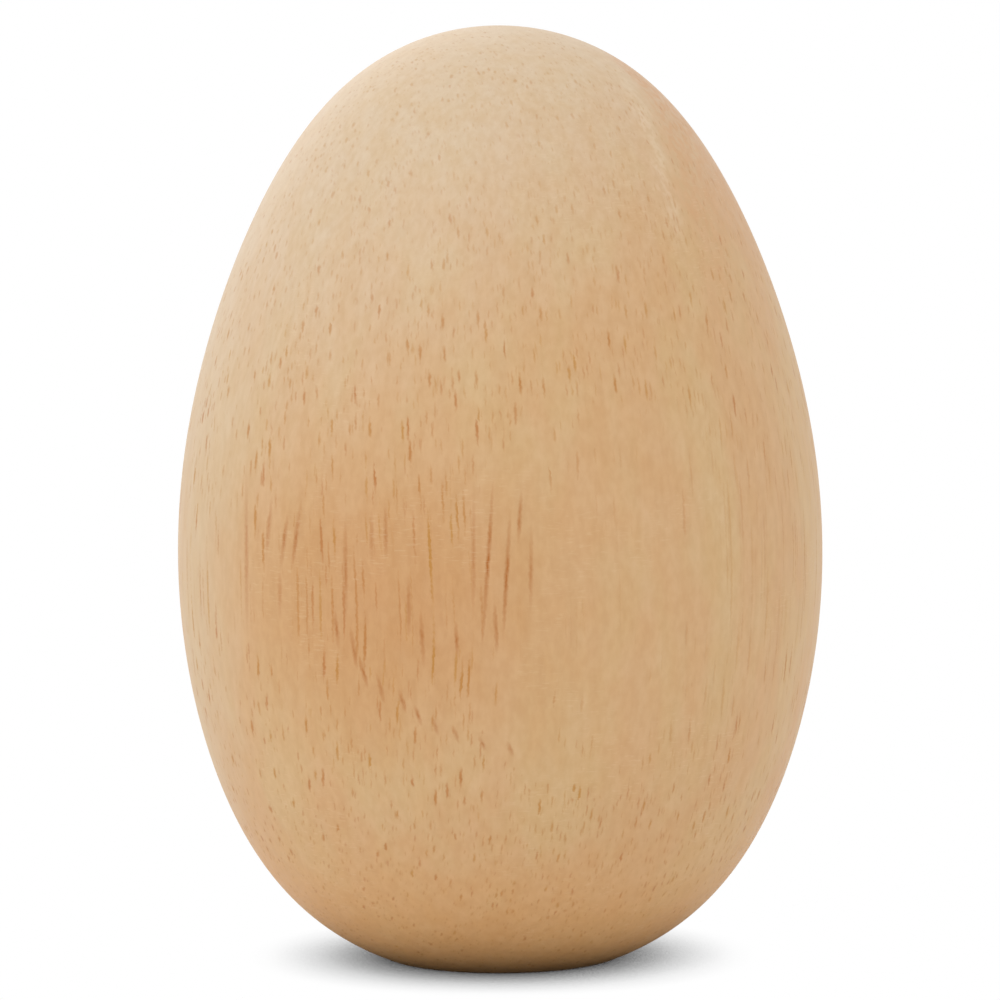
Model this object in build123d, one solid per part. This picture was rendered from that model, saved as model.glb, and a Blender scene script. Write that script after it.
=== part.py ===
from build123d import *

import math
import os

# Wooden egg shaker: a one-piece turned egg that stands on a flat foot. The egg is hollowed through a
# filling hole in the foot, charged with loose steel shot, and closed with a glued wooden plug that is
# sanded flush with the foot.
#
# Frame: +Z up through the crown, origin at the centre of the foot, millimetres.

# Egg
EGG_HEIGHT = 62.0  # foot to crown
EGG_DIAMETER = 42.8  # at the widest
FOOT_DIAMETER = 15.4  # flat that the egg stands on, before its edge is rounded
FOOT_EDGE_RADIUS = 0.8  # rounded edge of the foot
WALL = 4.2  # between the egg's surface and the chamber, square to the surface

# Outline of the egg, as factors of the formula in fullness
TAPER = 0.105  # blunt end wider than the crown
SHOULDER = 0.019  # flank above the widest part drawn in
ROUNDING = 0.162  # both ends rounder than an ellipse's
OUTLINE_POINTS = 17  # along an outline's curve

# Floor of the chamber, and the filling hole through it
MOUTH_DIAMETER = 11.0
FLOOR_CORNER_RADIUS = 1.0  # where the flat floor meets the chamber's wall

# Plug
PLUG_GLUE_GAP = 0.05  # radial, all round the plug
PLUG_CHAMFER = 0.6  # lead-in at the plug's inner end

# Shot: equal steel balls that lie in one level layer, closely packed in a hexagon
SHOT_DIAMETER = 3.2
SHOT_RINGS = 3  # rings of balls around the middle one
SHOT_GAP = 0.2  # between neighbours
SHOT_LIFT = 0.05  # under a ball at rest
SHOT_WALL_GAP = 0.4  # between the outermost balls and the edge of the floor

SHOT_PITCH = SHOT_DIAMETER + SHOT_GAP
MOUTH_RADIUS = MOUTH_DIAMETER / 2
HEXAGON_SIDES = 6
QUARTER_TURN = math.pi / 2
STEPS = 2000  # in the search for the widest place
HALVINGS = 60  # in a search by halving


def fullness(t):
    """What turns a circle into the egg, at t from -1 at the blunt tip to 1 at the crown."""
    return 1 - TAPER * t - SHOULDER * t**3 + ROUNDING * t**4


def fullness_slope(t):
    """How fast fullness changes with t."""
    return -TAPER - 3 * SHOULDER * t**2 + 4 * ROUNDING * t**3


def width(angle):
    """Radius at an angle, from -90 degrees at the blunt tip to 90 degrees at the crown, before it is
    scaled to the egg's diameter."""
    return math.cos(angle) * fullness(math.sin(angle))


def search(is_past, low, high):
    """Close in on the place between low and high where is_past turns true."""
    for _ in range(HALVINGS):
        middle = (low + high) / 2
        if is_past(middle):
            high = middle
        else:
            low = middle
    return (low + high) / 2


WIDEST_ANGLE = max((QUARTER_TURN * i / STEPS for i in range(-STEPS, STEPS)), key=width)
WIDTH_SCALE = EGG_DIAMETER / 2 / width(WIDEST_ANGLE)
FOOT_ANGLE = search(lambda a: WIDTH_SCALE * width(a) > FOOT_DIAMETER / 2, -QUARTER_TURN, WIDEST_ANGLE)
HALF_LENGTH = EGG_HEIGHT / (1 - math.sin(FOOT_ANGLE))


def heading(angle):
    """Unit (radius, height) direction in which the outline runs towards the crown."""
    t, across = math.sin(angle), math.cos(angle)
    radius_step = WIDTH_SCALE * (across**2 * fullness_slope(t) - t * fullness(t))
    height_step = HALF_LENGTH * across
    length = math.hypot(radius_step, height_step)
    return radius_step / length, height_step / length


def outline(angle, depth=0.0):
    """(radius, height) at a depth under the egg's surface, square to it."""
    outward, upward = heading(angle)
    height = EGG_HEIGHT - HALF_LENGTH * (1 - math.sin(angle))
    return WIDTH_SCALE * width(angle) - depth * upward, height + depth * outward


# The floor lies where the chamber is just wide enough for the layer of shot.
FLOOR_RADIUS = SHOT_RINGS * SHOT_PITCH + SHOT_DIAMETER / 2 + SHOT_WALL_GAP
FLOOR_ANGLE = search(lambda a: outline(a, WALL)[0] > FLOOR_RADIUS, -QUARTER_TURN, WIDEST_ANGLE)
FLOOR_HEIGHT = outline(FLOOR_ANGLE, WALL)[1]


def turned(start_angle, depth):
    """Solid of revolution inside the outline at that depth, flat below the angle where it starts."""
    angles = [start_angle + (QUARTER_TURN - start_angle) * i / OUTLINE_POINTS for i in range(OUTLINE_POINTS)]
    bottom = outline(start_angle, depth)[1]
    top = EGG_HEIGHT - depth
    with BuildPart() as part:
        with BuildSketch(Plane.XZ):
            with BuildLine():
                flank = Spline([outline(a, depth) for a in angles] + [(0, top)],
                               tangents=[heading(start_angle), (-1, 0)])
                Polyline(flank @ 1, (0, bottom), flank @ 0)
            make_face()
        revolve(axis=Axis.Z)
    return part.part


def upright_cylinder(radius, height):
    """Cylinder that stands on the foot's plane, on the egg's axis."""
    return Cylinder(radius, height, align=(Align.CENTER, Align.CENTER, Align.MIN))


def egg_body():
    """Turned egg with its foot's edge rounded, hollowed, with the filling hole through its floor."""
    egg = turned(FOOT_ANGLE, 0.0)
    egg = fillet(egg.edges().group_by(Axis.Z)[0], FOOT_EDGE_RADIUS)
    chamber = turned(FLOOR_ANGLE, WALL)
    chamber = fillet(chamber.edges().group_by(Axis.Z)[0], FLOOR_CORNER_RADIUS)
    mouth = upright_cylinder(MOUTH_RADIUS, FLOOR_HEIGHT + FLOOR_CORNER_RADIUS)
    return egg - chamber - mouth


def base_plug():
    """Plug as long as the floor is thick, chamfered at its inner end."""
    plug = upright_cylinder(MOUTH_RADIUS - PLUG_GLUE_GAP, FLOOR_HEIGHT)
    return chamfer(plug.edges().group_by(Axis.Z)[-1], PLUG_CHAMFER)


def shot_places():
    """(x, y) of every ball, ring by ring from the middle outwards."""
    places = [(0.0, 0.0)]
    for ring in range(1, SHOT_RINGS + 1):
        reach = Vector(SHOT_PITCH * ring, 0)
        corners = [reach.rotate(Axis.Z, 360 / HEXAGON_SIDES * k) for k in range(HEXAGON_SIDES)]
        for corner, following in zip(corners, corners[1:] + corners[:1]):
            for step in range(ring):
                place = corner + (following - corner) * (step / ring)
                places.append((place.X, place.Y))
    return places


def ball(x, y):
    """Ball at rest on the chamber's floor."""
    return Pos(x, y, FLOOR_HEIGHT + SHOT_LIFT + SHOT_DIAMETER / 2) * Sphere(SHOT_DIAMETER / 2)


def build():
    """Every node's name and shape."""
    nodes = {"egg_body": egg_body(), "base_plug": base_plug()}
    for number, (x, y) in enumerate(shot_places(), start=1):
        nodes[f"shot_{number:02d}"] = ball(x, y)
    return nodes


os.makedirs("parts", exist_ok=True)
for name, shape in build().items():
    export_step(shape, f"parts/{name}.step")
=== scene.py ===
import math

import bpy
import numpy as np
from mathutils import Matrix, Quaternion, Vector


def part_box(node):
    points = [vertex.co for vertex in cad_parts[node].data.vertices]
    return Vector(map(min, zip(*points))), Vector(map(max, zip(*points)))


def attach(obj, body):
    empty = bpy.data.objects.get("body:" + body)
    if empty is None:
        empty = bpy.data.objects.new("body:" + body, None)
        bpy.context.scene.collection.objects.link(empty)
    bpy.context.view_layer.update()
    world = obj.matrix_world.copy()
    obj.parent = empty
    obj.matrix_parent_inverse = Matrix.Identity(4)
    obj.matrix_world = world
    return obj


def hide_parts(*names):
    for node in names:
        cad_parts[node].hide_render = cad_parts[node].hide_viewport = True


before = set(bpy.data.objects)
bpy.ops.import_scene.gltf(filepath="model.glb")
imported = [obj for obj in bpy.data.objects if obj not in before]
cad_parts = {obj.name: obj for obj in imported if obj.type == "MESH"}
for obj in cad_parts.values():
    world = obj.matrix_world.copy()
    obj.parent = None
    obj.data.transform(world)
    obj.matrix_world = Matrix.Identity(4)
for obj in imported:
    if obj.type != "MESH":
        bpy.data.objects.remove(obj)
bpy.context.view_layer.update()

# ---------------------------------------------------------------------------------------------------
# The egg: one block of pale, open-pored hardwood, turned between centres with the grain running from
# foot to crown, hollowed through a hole bored in the foot, and sanded on the lathe with no varnish.
# ---------------------------------------------------------------------------------------------------
MM = 0.001
TAPER = 0.105
SHOULDER = 0.019
ROUNDING = 0.162
FOOT_RADIUS = 7.7
FOOT_EDGE = 0.8
WALL = 4.2
MOUTH_RADIUS = 5.5
FLOOR_CORNER = 1.0
MOUTH_EDGE = 0.12
SIDES = 256
OUTSIDE_ROWS = 170
INSIDE_ROWS = 70
CORNER_ROWS = 7

body_low, body_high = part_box("egg_body")
plug_low, plug_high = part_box("base_plug")
EGG_HEIGHT = body_high.z / MM
EGG_RADIUS = (body_high.x - body_low.x) / 2 / MM
FLOOR_HEIGHT = plug_high.z / MM


def fullness(t):
    """What turns a circle into the egg: one, less a taper to the crown and a drawn-in shoulder, and more at
    both ends."""
    return 1 - TAPER * t - SHOULDER * t**3 + ROUNDING * t**4


def width(angle):
    """The unscaled radius: the cosine of the angle from the middle towards the crown, times the fullness."""
    return np.cos(angle) * fullness(np.sin(angle))


turn = np.linspace(-math.pi / 2, math.pi / 2, 20001)
WIDEST = turn[np.argmax(width(turn))]
WIDTH_SCALE = EGG_RADIUS / width(WIDEST)
below = turn[turn < WIDEST]
FOOT_ANGLE = np.interp(FOOT_RADIUS, WIDTH_SCALE * width(below), below)
HALF_LENGTH = EGG_HEIGHT / (1 - math.sin(FOOT_ANGLE))


def outline(angle, depth=0.0):
    """(radius, height) of the egg's outline, moved inwards square to itself by a depth: the point less the
    depth times the outward normal, which is the heading turned a quarter turn."""
    t = np.sin(angle)
    slope = -TAPER - 3 * SHOULDER * t**2 + 4 * ROUNDING * t**3
    sideways = WIDTH_SCALE * (np.cos(angle) ** 2 * slope - t * fullness(t))
    step = np.stack([sideways, HALF_LENGTH * np.cos(angle)], -1)
    step /= np.linalg.norm(step, axis=-1, keepdims=True)
    point = np.stack([WIDTH_SCALE * width(angle), EGG_HEIGHT - HALF_LENGTH * (1 - t)], -1)
    return point + depth * np.stack([-step[..., 1], step[..., 0]], -1)


def rounded(path, radii):
    """A path of straight runs with its inner corners replaced by arcs: each arc starts and ends on its two
    runs, at the radius times the tangent of half the turn from the corner."""
    rows = [path[:1]]
    for corner, radius in zip(range(1, len(path) - 1), radii):
        before, here, after = path[corner - 1], path[corner], path[corner + 1]
        came = (here - before) / np.linalg.norm(here - before)
        goes = (after - here) / np.linalg.norm(after - here)
        turning = math.atan2(came[0] * goes[1] - came[1] * goes[0], came @ goes)
        if radius == 0:
            rows.append(here[None])
            continue
        start = here - came * radius * math.tan(abs(turning) / 2)
        inward = np.array([-came[1], came[0]]) * math.copysign(1, turning)
        swing = np.linspace(0, abs(turning), CORNER_ROWS)[:, None]
        rows.append(start + radius * (inward * (1 - np.cos(swing)) + came * np.sin(swing)))
    rows.append(path[-1:])
    return np.concatenate(rows)


def turned_mesh(name, profile):
    """A profile of (radius, height) carried round the axis: the point at an angle is the radius times the
    angle's cosine and sine, and the height. Both ends of the profile lie on the axis, and close in one point
    each."""
    angles = np.arange(SIDES) * 2 * math.pi / SIDES
    radius, height = profile[1:-1, :1], profile[1:-1, 1:]
    grid = np.stack([radius * np.cos(angles), radius * np.sin(angles), height + 0 * angles], -1)
    ends = np.array([[0, 0, profile[0, 1]], [0, 0, profile[-1, 1]]])
    points = np.concatenate([grid.reshape(-1, 3), ends]) * MM
    rows = len(grid)
    here = np.arange(rows * SIDES).reshape(rows, SIDES)
    along = np.roll(here, -1, axis=1)
    quads = np.stack([here[:-1], along[:-1], along[1:], here[1:]], -1).reshape(-1, 4)[:, ::-1]
    first = np.stack([along[0], here[0], np.full(SIDES, rows * SIDES)], -1)[:, ::-1]
    last = np.stack([here[-1], along[-1], np.full(SIDES, rows * SIDES + 1)], -1)[:, ::-1]
    mesh = bpy.data.meshes.new(name)
    mesh.from_pydata(points.tolist(), [], quads.tolist() + first.tolist() + last.tolist())
    mesh.polygons.foreach_set("use_smooth", np.ones(len(mesh.polygons), bool))
    mesh.update()
    piece = bpy.data.objects.new(name, mesh)
    bpy.context.scene.collection.objects.link(piece)
    return piece


foot_angles = np.linspace(FOOT_ANGLE, math.pi / 2, OUTSIDE_ROWS)
outside = outline(foot_angles)[::-1]
turn_inside = np.linspace(-math.pi / 2, WIDEST, 4001)
heights_inside = outline(turn_inside, WALL)[:, 1]
FLOOR_ANGLE = np.interp(FLOOR_HEIGHT, heights_inside, turn_inside)
inside = outline(np.linspace(FLOOR_ANGLE, math.pi / 2, INSIDE_ROWS), WALL)
mouth = [[MOUTH_RADIUS, 0.0], [MOUTH_RADIUS, FLOOR_HEIGHT]]
foot = np.array([outside[-4], outside[-1], *mouth, inside[0], inside[3]])
foot = rounded(foot, [FOOT_EDGE, MOUTH_EDGE, MOUTH_EDGE, FLOOR_CORNER])
body_profile = np.concatenate([outside[:-4], foot, inside[4:]])
body_profile[[0, -1], 0] = 0.0

turned_egg = turned_mesh("turned_egg", body_profile)
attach(turned_egg, "egg")
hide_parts("egg_body")


def paint(red, green, blue):
    """A colour as a shader reads it, from the 0 to 255 values that a paint chart gives."""
    share = np.array([red, green, blue]) / 255
    return (*np.where(share <= 0.04045, share / 12.92, ((share + 0.055) / 1.055) ** 2.4), 1.0)


def give(tree, sockets, inputs):
    """Gives each named or numbered socket a plain value or another node's output."""
    for place, value in inputs.items():
        if isinstance(value, bpy.types.NodeSocket):
            tree.links.new(value, sockets[place])
        else:
            sockets[place].default_value = value


def add(tree, kind, inputs, **options):
    """Puts one node in a tree, sets its options, and gives each input a value or another node's output."""
    node = tree.nodes.new("ShaderNode" + kind)
    for option, value in options.items():
        setattr(node, option, value)
    give(tree, node.inputs, inputs)
    return node


def calc(tree, operation, *values):
    """One step of arithmetic on numbers."""
    return add(tree, "Math", dict(enumerate(values)), operation=operation).outputs[0]


def move(tree, operation, *values):
    """One step of arithmetic on vectors."""
    return add(tree, "VectorMath", dict(enumerate(values)), operation=operation).outputs[0]


def gauge(tree, operation, *vectors):
    """One number measured from vectors: a length, a distance or a dot product."""
    return add(tree, "VectorMath", dict(enumerate(vectors)), operation=operation).outputs["Value"]


def resize(tree, vector, scale):
    """A vector made longer or shorter."""
    return add(tree, "VectorMath", {0: vector, "Scale": scale}, operation="SCALE").outputs[0]


def parts(tree, vector):
    """The three parts of a vector."""
    return add(tree, "SeparateXYZ", {0: vector}).outputs


def fade(tree, value, low, high, start=0.0, end=1.0):
    """Eases from start to end as the value goes from low to high."""
    inputs = {"Value": value, 1: low, 2: high, 3: start, 4: end}
    return add(tree, "MapRange", inputs, interpolation_type="SMOOTHSTEP").outputs[0]


def noise(tree, vector, scale, detail=1.0, **options):
    """Soft noise about a half."""
    return add(tree, "TexNoise", {"Vector": vector, "Scale": scale, "Detail": detail}, **options).outputs


def lay(tree, share, colour, over, mode="MIX"):
    """Lays one colour over another by a share."""
    inputs = {0: share, 6: colour, 7: over}
    return add(tree, "Mix", inputs, data_type="RGBA", blend_type=mode).outputs[2]


def tint(tree, colour, value, red, green, blue):
    """Multiplies each channel of a colour by one less to one more its own share, as the value goes up past a
    half."""
    factors = {}
    for place, part in enumerate((red, green, blue)):
        factors[place] = fade(tree, value, 0.25, 0.75, 1 - part, 1 + part)
    return lay(tree, 1.0, colour, add(tree, "CombineColor", factors).outputs[0], "MULTIPLY")


def effect(name, inputs, outputs):
    """An empty shader node group with named sockets: its tree, its inputs and its output node's inputs."""
    tree = bpy.data.node_groups.new(name, "ShaderNodeTree")
    for label, value in inputs.items():
        kind = "NodeSocketVector" if value is None else "NodeSocketFloat"
        socket = tree.interface.new_socket(label, in_out="INPUT", socket_type=kind)
        if value is not None:
            socket.default_value = value
    for label, kind in outputs.items():
        tree.interface.new_socket(label, in_out="OUTPUT", socket_type="NodeSocket" + kind)
    return tree, tree.nodes.new("NodeGroupInput").outputs, tree.nodes.new("NodeGroupOutput").inputs


def use(tree, group, inputs):
    """Places an effect in a material with its own values, and gives its outputs."""
    return add(tree, "Group", inputs, node_tree=group).outputs


def place_in_log():
    """Where a point of the piece lay in the log, in millimetres: out from the pith, round it, and along the
    grain. The first is the distance to the pith less the pith's own distance. Slow noise bends the grain
    sideways by Wander."""
    inputs = {"Pith distance": 150.0, "Turn": 0.0, "Wander": 0.35, "Shift": None}
    tree, given, out = effect("place_in_log", inputs, {"Log": "Vector", "Point": "Vector"})
    point = resize(tree, add(tree, "TexCoord", {}).outputs["Object"], 1 / MM)
    slow = move(tree, "ADD", move(tree, "MULTIPLY", point, (0.02, 0.02, 0.055)), given["Shift"])
    sway = move(tree, "SUBTRACT", noise(tree, slow, 1.0, 1.5)["Color"], (0.5, 0.5, 0.5))
    sway = resize(tree, move(tree, "MULTIPLY", sway, (4.0, 4.0, 0.0)), given["Wander"])
    grown = move(tree, "ADD", point, sway)
    spin = {"Vector": grown, "Angle": given["Turn"]}
    x, y, z = parts(tree, add(tree, "VectorRotate", spin, rotation_type="Z_AXIS").outputs[0])
    depth = calc(tree, "ADD", x, given["Pith distance"])
    far = calc(tree, "SQRT", calc(tree, "MULTIPLY_ADD", depth, depth, calc(tree, "MULTIPLY", y, y)))
    out_from = calc(tree, "SUBTRACT", far, given["Pith distance"])
    around = calc(tree, "MULTIPLY", calc(tree, "ARCTAN2", y, depth), given["Pith distance"])
    log = add(tree, "CombineXYZ", {0: out_from, 1: around, 2: z}).outputs[0]
    tree.links.new(move(tree, "ADD", log, given["Shift"]), out["Log"])
    tree.links.new(point, out["Point"])
    return tree


def growth_rings():
    """The share of vessels that a year's growth has: it goes up and down with the distance from the pith,
    bunches here and there, is highest just inside the Clear depth, and is low past it, where the growth was
    slow."""
    inputs = {"Log": None, "Point": None, "Clear depth": 19.4}
    tree, given, out = effect("growth_rings", inputs, {"Share": "Float"})
    wave = calc(tree, "SUBTRACT", noise(tree, given["Point"], 0.09, 2.0)[0], 0.5)
    ring = calc(tree, "MULTIPLY_ADD", wave, 3.0, parts(tree, given["Log"])[0])
    years = add(tree, "TexNoise", {"W": ring, "Scale": 0.45, "Detail": 2.0}, noise_dimensions="1D").outputs[0]
    beyond = calc(tree, "SUBTRACT", ring, given["Clear depth"])
    clear = fade(tree, beyond, -0.4, 0.3)
    rich = calc(tree, "MULTIPLY", fade(tree, beyond, -1.8, -0.6), calc(tree, "SUBTRACT", 1.0, clear))
    share = calc(tree, "MULTIPLY_ADD", clear, -0.45, fade(tree, years, 0.35, 0.65, 0.45, 0.85))
    share = calc(tree, "MULTIPLY_ADD", rich, 0.4, share)
    bunch = noise(tree, move(tree, "MULTIPLY", given["Log"], (1.0, 1.0, 0.4)), 0.45)[0]
    tree.links.new(calc(tree, "MULTIPLY_ADD", calc(tree, "SUBTRACT", bunch, 0.5), 1.3, share), out["Share"])
    return tree


def open_pores():
    """Vessels cut open by the surface. Seen along the grain they are spots scattered Spacing apart, Width
    across and twice as long towards the bark. Each narrows and closes now and then, about every Length along
    the grain, and only a Share of them are there. Mask is one inside a vessel, and Tone and Hue are one
    number for each vessel."""
    inputs = {"Log": None, "Spacing": 0.32, "Width": 0.15, "Soft edge": 0.07, "Length": 8.0, "Share": 1.0}
    tree, given, out = effect("open_pores", inputs, {"Mask": "Float", "Tone": "Float", "Hue": "Float"})
    x, y, z = parts(tree, given["Log"])
    flat = add(tree, "CombineXYZ", {0: calc(tree, "DIVIDE", x, 2.0), 1: y}).outputs[0]
    spread = resize(tree, flat, calc(tree, "DIVIDE", 1.0, given["Spacing"]))
    spots = {"Vector": spread, "Scale": 1.0, "Randomness": 1.0}
    cell = add(tree, "TexVoronoi", spots, feature="F1", voronoi_dimensions="2D").outputs
    chance, tone, hue = add(tree, "SeparateColor", {0: cell["Color"]}).outputs
    lane = {0: calc(tree, "MULTIPLY", hue, 900.0), 1: calc(tree, "DIVIDE", z, given["Length"])}
    open_now = noise(tree, add(tree, "CombineXYZ", lane).outputs[0], 1.0, 2.0, noise_dimensions="2D")[0]
    there = fade(tree, calc(tree, "SUBTRACT", given["Share"], chance), -0.06, 0.1)
    grown = calc(tree, "MULTIPLY", there, fade(tree, open_now, 0.3, 0.55))
    half = calc(tree, "MULTIPLY", given["Width"], 0.5)
    half = calc(tree, "MULTIPLY", half, fade(tree, tone, 0.0, 1.0, 0.6, 1.25))
    off = calc(tree, "MULTIPLY", cell["Distance"], given["Spacing"])
    inside = calc(tree, "SUBTRACT", calc(tree, "MULTIPLY", half, grown), off)
    mask = fade(tree, calc(tree, "DIVIDE", inside, given["Soft edge"]), -0.5, 1.0)
    tree.links.new(calc(tree, "MULTIPLY", mask, grown), out["Mask"])
    tree.links.new(tone, out["Tone"])
    tree.links.new(hue, out["Hue"])
    return tree


def fibres():
    """Streaks along the grain: noise about a half, Size across and Stretch times as long."""
    inputs = {"Log": None, "Size": 0.5, "Stretch": 12.0, "Detail": 3.0}
    tree, given, out = effect("fibres", inputs, {"Streak": "Float"})
    along = calc(tree, "DIVIDE", 1.0, given["Stretch"])
    squeeze = add(tree, "CombineXYZ", {0: 1.0, 1: 1.0, 2: along}).outputs[0]
    place = move(tree, "MULTIPLY", given["Log"], squeeze)
    streak = {"Vector": place, "Scale": calc(tree, "DIVIDE", 1.0, given["Size"]), "Detail": given["Detail"]}
    tree.links.new(add(tree, "TexNoise", {**streak, "Roughness": 0.55}).outputs[0], out["Streak"])
    return tree


def lathe_marks():
    """Scratches round the axis, left by a tool or by paper held against the turning piece: noise that is
    Length long round the axis and Pitch high. Patch is where it bit deepest, in scattered places."""
    inputs = {"Point": None, "Pitch": 0.1, "Length": 0.7}
    tree, given, out = effect("lathe_marks", inputs, {"Mark": "Float", "Patch": "Float"})
    outwards = move(tree, "NORMALIZE", move(tree, "MULTIPLY", given["Point"], (1.0, 1.0, 0.0)))
    around = resize(tree, outwards, calc(tree, "DIVIDE", EGG_RADIUS, given["Length"]))
    turns = calc(tree, "DIVIDE", parts(tree, given["Point"])[2], given["Pitch"])
    up = add(tree, "CombineXYZ", {2: turns}).outputs[0]
    tree.links.new(noise(tree, move(tree, "ADD", around, up), 1.0)[0], out["Mark"])
    tree.links.new(fade(tree, noise(tree, given["Point"], 0.13)[0], 0.52, 0.66), out["Patch"])
    return tree


def long_vessel():
    """One vessel that the surface opens along its length: how deep a point lies in a ball stretched up and
    down about the Middle by Size and leant sideways by Lean, times Darkness: full in the middle and none at
    its skin."""
    inputs = {"Point": None, "Middle": None, "Size": None, "Lean": None, "Darkness": 0.5}
    tree, given, out = effect("long_vessel", inputs, {"Depth": "Float"})
    place = {0: given["Point"], 1: given["Middle"], 2: given["Lean"], 3: given["Size"]}
    inside = add(tree, "Mapping", place, vector_type="TEXTURE").outputs[0]
    near = calc(tree, "SUBTRACT", 1.0, gauge(tree, "LENGTH", inside))
    tree.links.new(calc(tree, "MULTIPLY", near, given["Darkness"]), out["Depth"])
    return tree


PLACE_IN_LOG = place_in_log()
GROWTH_RINGS = growth_rings()
OPEN_PORES = open_pores()
FIBRES = fibres()
LATHE_MARKS = lathe_marks()
LONG_VESSEL = long_vessel()
OCHRE_PORE = paint(180, 122, 18)
RUST_PORE = paint(172, 98, 14)
RAGGEDNESS = 0.16
SMALL_VESSELS = {"Spacing": 0.25, "Width": 0.11, "Soft edge": 0.05, "Length": 4.0}
EGG_LOG = {"turn": math.radians(72), "shift": (0.0, 0.0, 0.0), "clear_depth": 19.4}


def start_wood(name, turn, shift, clear_depth):
    """A new wood material: its node tree, its places in the log and on the piece, its slow and fine streaks,
    its share of vessels, and a small ragged shift for the vessels' edges."""
    material = bpy.data.materials.new(name)
    material.use_nodes = True
    tree = material.node_tree
    place = use(tree, PLACE_IN_LOG, {"Turn": turn, "Shift": shift})
    log, point = place["Log"], place["Point"]
    slow = use(tree, FIBRES, {"Log": log, "Size": 5.0, "Stretch": 3.0})["Streak"]
    fine = use(tree, FIBRES, {"Log": log, "Size": 0.45, "Stretch": 2.0, "Detail": 2.0})["Streak"]
    share = use(tree, GROWTH_RINGS, {"Log": log, "Point": point, "Clear depth": clear_depth})["Share"]
    ragged = move(tree, "SUBTRACT", noise(tree, log, 3.5)["Color"], (0.5, 0.5, 0.5))
    ragged = resize(tree, ragged, RAGGEDNESS)
    return material, tree, log, point, slow, fine, share, ragged


def grow_wood(tree, colour, log, fine, share, ragged, strength):
    """Blotches and streaks a ground colour and opens two sizes of vessels in it: the new colour, and the
    dents."""
    torn = move(tree, "ADD", log, ragged)
    blotch = use(tree, FIBRES, {"Log": log, "Size": 1.5, "Stretch": 2.2, "Detail": 1.0})["Streak"]
    colour = tint(tree, colour, blotch, 0.008, 0.026, 0.06)
    pores = use(tree, OPEN_PORES, {"Log": torn, "Share": share})
    small = use(tree, OPEN_PORES, {"Log": torn, "Share": share, **SMALL_VESSELS})
    long_streak = use(tree, FIBRES, {"Log": log, "Size": 0.6, "Stretch": 14.0})["Streak"]
    colour = tint(tree, colour, long_streak, 0.02, 0.03, 0.05)
    colour = tint(tree, colour, fine, 0.028, 0.05, 0.085)
    dark = lay(tree, pores["Hue"], OCHRE_PORE, RUST_PORE)
    deep = calc(tree, "MULTIPLY", pores["Mask"], fade(tree, pores["Tone"], 0.0, 1.0, 0.2, 0.75))
    colour = lay(tree, calc(tree, "MULTIPLY", deep, strength), colour, dark)
    faint = calc(tree, "MULTIPLY", small["Mask"], 0.42)
    colour = lay(tree, calc(tree, "MULTIPLY", faint, strength), colour, dark)
    return colour, calc(tree, "MULTIPLY_ADD", small["Mask"], 0.4, pores["Mask"])


def finish_wood(tree, colour, roughness, hollows, depth):
    """Feeds the shader: the colour, the roughness, and hollows of a depth in millimetres."""
    shader = tree.nodes["Principled BSDF"].inputs
    tree.links.new(colour, shader["Base Color"])
    tree.links.new(roughness, shader["Roughness"])
    raised = calc(tree, "SUBTRACT", 0.0, hollows)
    bump = add(tree, "Bump", {"Height": raised, "Strength": 0.3, "Distance": depth * MM})
    tree.links.new(bump.outputs[0], shader["Normal"])


# Across, middle height, half length, lean in radians and darkness of the longest vessels on the front.
LONG_VESSELS = [(-0.8, 28.6, 5.6, 0.07, 0.9), (0.4, 28.0, 4.4, 0.06, 0.85), (1.25, 31.6, 1.8, 0.06, 0.7),
                (1.95, 28.3, 2.9, 0.01, 0.55), (-1.7, 29.2, 4.2, 0.01, 0.5), (-0.3, 24.6, 1.8, -0.05, 0.7),
                (-16.4, 28.5, 6.0, 0.0, 0.5), (-13.1, 30.0, 2.4, 0.14, 0.75), (-13.9, 29.6, 2.0, 0.14, 0.65),
                (-14.9, 30.4, 2.2, 0.1, 0.6), (-14.2, 26.2, 1.8, 0.0, 0.45),
                (-9.9, 28.1, 3.6, 0.0, 0.6), (-8.2, 30.1, 2.0, 0.0, 0.45), (-7.3, 30.6, 2.0, 0.0, 0.55),
                (-5.85, 25.9, 2.1, 0.0, 0.7), (-5.0, 23.8, 2.0, -0.05, 0.75), (-2.8, 23.8, 1.3, -0.05, 0.7),
                (-10.5, 24.2, 1.4, -0.1, 0.7), (-9.4, 23.0, 1.5, -0.15, 0.75), (-8.8, 21.5, 1.2, -0.25, 0.75),
                (-7.7, 20.5, 1.1, -0.25, 0.75), (-6.3, 19.7, 0.9, -0.25, 0.75), (-5.3, 18.8, 0.8, -0.3, 0.7),
                (-4.2, 18.1, 0.7, -0.3, 0.7), (-2.9, 17.6, 0.7, -0.35, 0.65), (-1.2, 17.0, 0.6, -0.35, 0.65),
                (0.6, 16.6, 0.6, -0.35, 0.6)]
LONG_VESSEL_WIDTH = 0.19
LONG_VESSEL_COLOUR = paint(168, 98, 22)
FRONT = -20.0
FRONT_DEPTH = 30.0
HEARTWOOD_MIDDLE = (-6.9, -19.0, 26.4)
CLOSED_MIDDLE = (10.0, -17.0, 27.0)
BRANCH_ACROSS = (0.9, 0.44, 0.0)
PORE_DEPTH = 0.05


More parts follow.
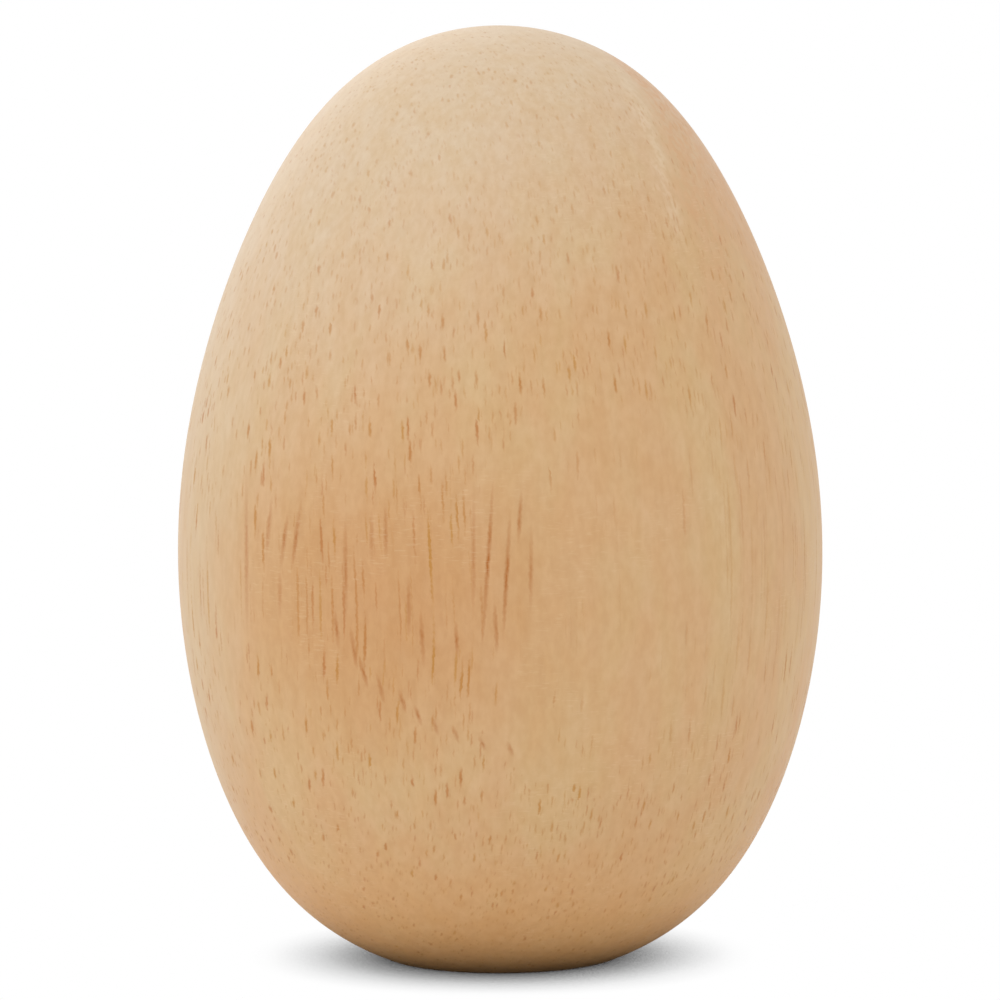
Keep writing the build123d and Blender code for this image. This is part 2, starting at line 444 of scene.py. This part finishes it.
def sanded_wood():
    """The egg's outside: tan and rose wood, redder where the tool reached the heart on the left of the front,
    closer on its right, with a branch's growth faint at the crown's right, and faint sanding scratches;
    paler at the crown and the left edge, a painted highlight, and browner at the foot, painted shade."""
    material, tree, log, point, slow, fine, share, ragged = start_wood("sanded_wood", **EGG_LOG)
    x, y, height = parts(tree, point)
    sway = calc(tree, "SUBTRACT", slow, 0.5)
    colour = lay(tree, fade(tree, slow, 0.38, 0.62), paint(203, 167, 119), paint(203, 161, 114))
    away = move(tree, "MULTIPLY", move(tree, "SUBTRACT", point, HEARTWOOD_MIDDLE), (0.85, 1.0, 1.15))
    away = calc(tree, "MULTIPLY_ADD", sway, 18.0, gauge(tree, "LENGTH", away))
    colour = lay(tree, fade(tree, away, 15.0, 3.0, 0.0, 0.65), colour, paint(195, 141, 87))
    closed = fade(tree, gauge(tree, "DISTANCE", point, CLOSED_MIDDLE), 15.0, 7.0)
    # Paler towards the far left side: a painted highlight, standing in for the pale reflection of the bright
    # left of the room on that edge.
    colour = lay(tree, fade(tree, x, -15.0, -20.0, 0.0, 0.6), colour, paint(203, 175, 137))
    # Paler towards the crown, leaning to the left: a painted highlight, standing in for the soft reflection
    # of the light above left.
    crown = calc(tree, "MULTIPLY_ADD", x, -0.6, height)
    colour = lay(tree, fade(tree, crown, 37.0, 62.0, 0.0, 0.9), colour, paint(209, 185, 154))
    # Browner towards the foot: painted shade, a warm darkening low on the egg where it turns down to the
    # table.
    colour = lay(tree, fade(tree, height, 12.0, 1.0, 0.0, 0.8), colour, paint(211, 162, 104))
    across = calc(tree, "MULTIPLY_ADD", sway, 2.5, gauge(tree, "DOT_PRODUCT", point, BRANCH_ACROSS))
    broken = fade(tree, fine, 0.35, 0.6, 0.3, 1.0)
    pale = fade(tree, calc(tree, "ABSOLUTE", calc(tree, "SUBTRACT", across, 5.3)), 0.9, 0.1)
    pale = calc(tree, "MULTIPLY", pale, fade(tree, height, 46.0, 54.0, 0.0, 0.25))
    pale = calc(tree, "MULTIPLY", pale, fade(tree, y, -2.0, -9.0))
    rosy = fade(tree, across, 12.0, 8.0, fade(tree, height, 44.0, 54.0, 0.1, 1.0))
    rosy = calc(tree, "MULTIPLY", rosy, fade(tree, across, 5.4, 7.4))
    rosy = calc(tree, "MULTIPLY", rosy, fade(tree, height, 34.0, 60.0, 0.0, 0.8))
    colour = lay(tree, calc(tree, "MULTIPLY", pale, broken), colour, paint(228, 206, 176))
    colour = lay(tree, calc(tree, "MULTIPLY", rosy, broken), colour, paint(201, 152, 106))
    strength = fade(tree, height, 34.0, 56.0, 1.0, 0.45)
    strength = calc(tree, "MULTIPLY", strength, fade(tree, height, 2.0, 14.0, 0.6, 1.0))
    strength = calc(tree, "MULTIPLY", strength, fade(tree, closed, 0.0, 1.0, 1.0, 0.35))
    colour, dents = grow_wood(tree, colour, log, fine, share, ragged, strength)
    streaks = 0.0
    torn = move(tree, "ADD", point, ragged)
    for sideways, middle, half_length, lean, darkness in LONG_VESSELS:
        place = {"Point": torn, "Middle": (sideways, FRONT, middle), "Lean": (0.0, lean, 0.0)}
        place["Size"] = (LONG_VESSEL_WIDTH, FRONT_DEPTH, half_length)
        place["Darkness"] = darkness
        streaks = calc(tree, "MAXIMUM", streaks, use(tree, LONG_VESSEL, place)["Depth"])
    streaks = calc(tree, "MULTIPLY", streaks, fade(tree, fine, 0.38, 0.6, 0.75, 1.3))
    colour = lay(tree, streaks, colour, LONG_VESSEL_COLOUR)
    marks = use(tree, LATHE_MARKS, {"Point": point})
    scratches = calc(tree, "MULTIPLY", fade(tree, marks["Mark"], 0.58, 0.72), marks["Patch"])
    colour = lay(tree, calc(tree, "MULTIPLY", scratches, 0.16), colour, paint(226, 200, 162))
    hollows = calc(tree, "MAXIMUM", dents, streaks)
    finish_wood(tree, colour, fade(tree, fine, 0.3, 0.7, 0.45, 0.55), hollows, PORE_DEPTH)
    return material


def bored_wood():
    """The chamber's wall: the same wood as the boring tool left it, with its rings, a little torn, rougher
    and browner."""
    material, tree, log, point, slow, fine, share, ragged = start_wood("bored_wood", **EGG_LOG)
    colour = lay(tree, fade(tree, slow, 0.38, 0.62), paint(196, 156, 108), paint(190, 146, 98))
    colour, dents = grow_wood(tree, colour, log, fine, share, ragged, 1.0)
    rings = use(tree, LATHE_MARKS, {"Point": point, "Pitch": 0.45, "Length": 40.0})["Mark"]
    colour = tint(tree, colour, rings, 0.05, 0.06, 0.07)
    finish_wood(tree, colour, fade(tree, rings, 0.3, 0.7, 0.6, 0.8), calc(tree, "ADD", dents, rings), 0.15)
    return material


turned_egg.data.materials.append(sanded_wood())
turned_egg.data.materials.append(bored_wood())
row_of_face = np.arange(len(turned_egg.data.polygons)) // SIDES
mouth_row = len(outside) - 4 + CORNER_ROWS
crown_row = len(body_profile) - 3
bored = (row_of_face >= mouth_row) & (row_of_face != crown_row)
turned_egg.data.polygons.foreach_set("material_index", bored.astype(np.int32))

# ---------------------------------------------------------------------------------------------------
# The plug: a short dowel of a closer, paler wood, with its upper edge chamfered, pressed into the
# filling hole with glue and sanded flush with the foot, so that only its end grain shows.
# ---------------------------------------------------------------------------------------------------
PLUG_RADIUS = (plug_high.x - plug_low.x) / 2 / MM
PLUG_CHAMFER = 0.6
PLUG_EDGE = 0.1
DOWEL_LOG = {"turn": math.radians(20), "shift": (31.0, 12.0, 5.0), "clear_depth": 400.0}
plug_path = np.array([[0.0, FLOOR_HEIGHT], [PLUG_RADIUS - PLUG_CHAMFER, FLOOR_HEIGHT],
                      [PLUG_RADIUS, FLOOR_HEIGHT - PLUG_CHAMFER], [PLUG_RADIUS, 0.0], [0.0, 0.0]])
foot_plug = turned_mesh("foot_plug", rounded(plug_path, [PLUG_EDGE, PLUG_EDGE, PLUG_EDGE]))
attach(foot_plug, "egg")
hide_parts("base_plug")


def dowel_wood():
    """Pale close-grained wood with few and faint vessels, darker and browner in its end grain."""
    material, tree, log, _, slow, fine, share, ragged = start_wood("dowel_wood", **DOWEL_LOG)
    few = calc(tree, "SUBTRACT", share, 0.3)
    colour = lay(tree, fade(tree, slow, 0.38, 0.62), paint(216, 184, 140), paint(208, 172, 126))
    years = add(tree, "TexNoise", {"W": parts(tree, log)[0], "Scale": 1.1}, noise_dimensions="1D").outputs[0]
    colour = tint(tree, colour, years, 0.05, 0.07, 0.09)
    colour, dents = grow_wood(tree, colour, log, fine, few, ragged, 0.6)
    end = calc(tree, "ABSOLUTE", parts(tree, add(tree, "NewGeometry", {}).outputs["True Normal"])[2])
    colour = lay(tree, fade(tree, end, 0.6, 0.95, 0.0, 0.5), colour, paint(186, 146, 98))
    finish_wood(tree, colour, fade(tree, fine, 0.3, 0.7, 0.55, 0.7), dents, PORE_DEPTH)
    return material


foot_plug.data.materials.append(dowel_wood())

# ---------------------------------------------------------------------------------------------------
# The shot: hardened steel balls, ground bright and tumbled, loose on the chamber's floor, where they
# have begun to scratch and dull each other.
# ---------------------------------------------------------------------------------------------------
PIT_DEPTH = 0.02


def tumbled_steel():
    """Bright steel, dulled in patches, with fine scratches all ways and shallow pits."""
    material = bpy.data.materials.new("tumbled_steel")
    material.use_nodes = True
    tree = material.node_tree
    shader = tree.nodes["Principled BSDF"].inputs
    point = resize(tree, add(tree, "TexCoord", {}).outputs["Object"], 1 / MM)
    worn = noise(tree, point, 0.9, 3.0)[0]
    scratch = noise(tree, move(tree, "MULTIPLY", point, (9.0, 1.2, 3.0)), 1.0, 2.0)[0]
    pit = add(tree, "TexVoronoi", {"Vector": point, "Scale": 2.6}, feature="F1").outputs["Distance"]
    colour = lay(tree, fade(tree, worn, 0.35, 0.65), paint(198, 198, 196), paint(170, 168, 164))
    tree.links.new(colour, shader["Base Color"])
    scratched = fade(tree, scratch, 0.55, 0.7, 0.0, 0.15)
    rough = calc(tree, "ADD", fade(tree, worn, 0.35, 0.65, 0.16, 0.32), scratched)
    tree.links.new(rough, shader["Roughness"])
    shader["Metallic"].default_value = 1.0
    groove = calc(tree, "MULTIPLY", fade(tree, scratch, 0.6, 0.7), 0.3)
    height = calc(tree, "SUBTRACT", fade(tree, pit, 0.05, 0.2), groove)
    bump = add(tree, "Bump", {"Height": height, "Strength": 0.2, "Distance": PIT_DEPTH * MM})
    tree.links.new(bump.outputs[0], shader["Normal"])
    return material


steel = tumbled_steel()
for name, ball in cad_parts.items():
    if name.startswith("shot_"):
        ball.data.materials.clear()
        ball.data.materials.append(steel)

# ---------------------------------------------------------------------------------------------------
# The table: white paper swept to the horizon. For the camera it glows plain white, and the shadow under
# the egg is a painted shadow: the glow is dimmed by how closed the paper is to the sky nearby. For light
# bouncing up, its colour is painted darker close to the foot, a painted shadow for the egg's shade there.
# ---------------------------------------------------------------------------------------------------
TABLE_SIZE = 4
TABLE_GAP = 0.02
SHADOW_REACH = 0.005
bpy.ops.mesh.primitive_plane_add(size=TABLE_SIZE)
table = bpy.context.object
table.name = "table"
table.location.z = -TABLE_GAP * MM
paper = bpy.data.materials.new("white_paper")
paper.use_nodes = True
tree = paper.node_tree
sheet = tree.nodes["Principled BSDF"]
from_foot = gauge(tree, "LENGTH", add(tree, "TexCoord", {}).outputs["Object"])
# Painted shadow: the paper's colour is darker close to the foot, for the light it bounces up.
painted_shadow_albedo = fade(tree, from_foot, 0.008, 0.018, 0.18, 0.95)
painted_shadow_colour = add(tree, "CombineColor", {0: painted_shadow_albedo, 1: painted_shadow_albedo, 2: painted_shadow_albedo}).outputs[0]
tree.links.new(painted_shadow_colour, sheet.inputs["Base Color"])
# Painted contact shadow: the camera's glow is dimmed where the egg hems the paper in.
open_sky = add(tree, "AmbientOcclusion", {"Distance": SHADOW_REACH}, samples=4)
shade = calc(tree, "POWER", calc(tree, "SUBTRACT", 1.0, open_sky.outputs["AO"]), 2.6)
glow = add(tree, "Emission", {"Strength": calc(tree, "SUBTRACT", 1.0, shade)})
by_camera = add(tree, "LightPath", {}).outputs["Is Camera Ray"]
seen = add(tree, "MixShader", {0: by_camera, 1: sheet.outputs[0], 2: glow.outputs[0]})
tree.links.new(seen.outputs[0], tree.nodes["Material Output"].inputs["Surface"])
table.data.materials.append(paper)

# ---------------------------------------------------------------------------------------------------
# The light: a white room, a little brighter on the left, a soft box above the left of the camera, and
# a weak one behind the egg that pales the upper left edge.
# ---------------------------------------------------------------------------------------------------
BRIGHT_SIDE = (-0.95, 0.6, 0.3)
room = bpy.data.worlds.new("room")
room.use_nodes = True
bpy.context.scene.world = room
tree = room.node_tree
sky = add(tree, "TexCoord", {}).outputs["Generated"]
to_left = gauge(tree, "DOT_PRODUCT", sky, BRIGHT_SIDE)
brightness = add(tree, "MapRange", {"Value": to_left, 1: -0.6, 2: 1.1, 3: 0.96, 4: 1.12}).outputs[0]
tree.links.new(brightness, tree.nodes["Background"].inputs["Strength"])
tree.nodes["Background"].inputs["Color"].default_value = (1, 1, 1, 1)


def soft_box(name, azimuth, elevation, distance, size, power):
    """A square soft box that faces the egg's middle, so many degrees right of the camera and up from the
    level, in metres and watts."""
    light = bpy.data.lights.new(name, "AREA")
    light.energy = power
    light.size = size
    box = bpy.data.objects.new(name, light)
    bpy.context.scene.collection.objects.link(box)
    level, up = math.radians(azimuth), math.radians(elevation)
    towards = Vector((math.sin(level) * math.cos(up), -math.cos(level) * math.cos(up), math.sin(up)))
    box.location = Vector((0, 0, EGG_HEIGHT / 2 * MM)) + towards * distance
    box.rotation_euler = towards.to_track_quat("Z", "Y").to_euler()


soft_box("key_light", -35, 40, 0.6, 0.4, 0.34)
soft_box("back_light", -158, 28, 0.5, 0.35, 0.25)

# ---------------------------------------------------------------------------------------------------
# The camera: a long lens a little above the egg's middle, level but for a slight roll.
# ---------------------------------------------------------------------------------------------------
CAMERA_DISTANCE = 8.1 * EGG_HEIGHT
CAMERA_ELEVATION = math.radians(6)
AIM_HEIGHT = 30.52
FRAME_HEIGHT = 66.42
CAMERA_ROLL = -0.0041
SENSOR_WIDTH = 36
camera = bpy.data.objects.new("camera", bpy.data.cameras.new("camera"))
bpy.context.scene.collection.objects.link(camera)
aim = Vector((0, 0, AIM_HEIGHT * MM))
back = Vector((0, -math.cos(CAMERA_ELEVATION), math.sin(CAMERA_ELEVATION)))
camera.location = aim + back * CAMERA_DISTANCE * MM
camera.rotation_euler = (back.to_track_quat("Z", "Y") @ Quaternion((0, 0, 1), CAMERA_ROLL)).to_euler()
camera.data.sensor_width = SENSOR_WIDTH
camera.data.lens = SENSOR_WIDTH * CAMERA_DISTANCE / FRAME_HEIGHT
camera.data.clip_start = 0.01
bpy.context.scene.camera = camera
bpy.context.scene.view_settings.view_transform = "Standard"
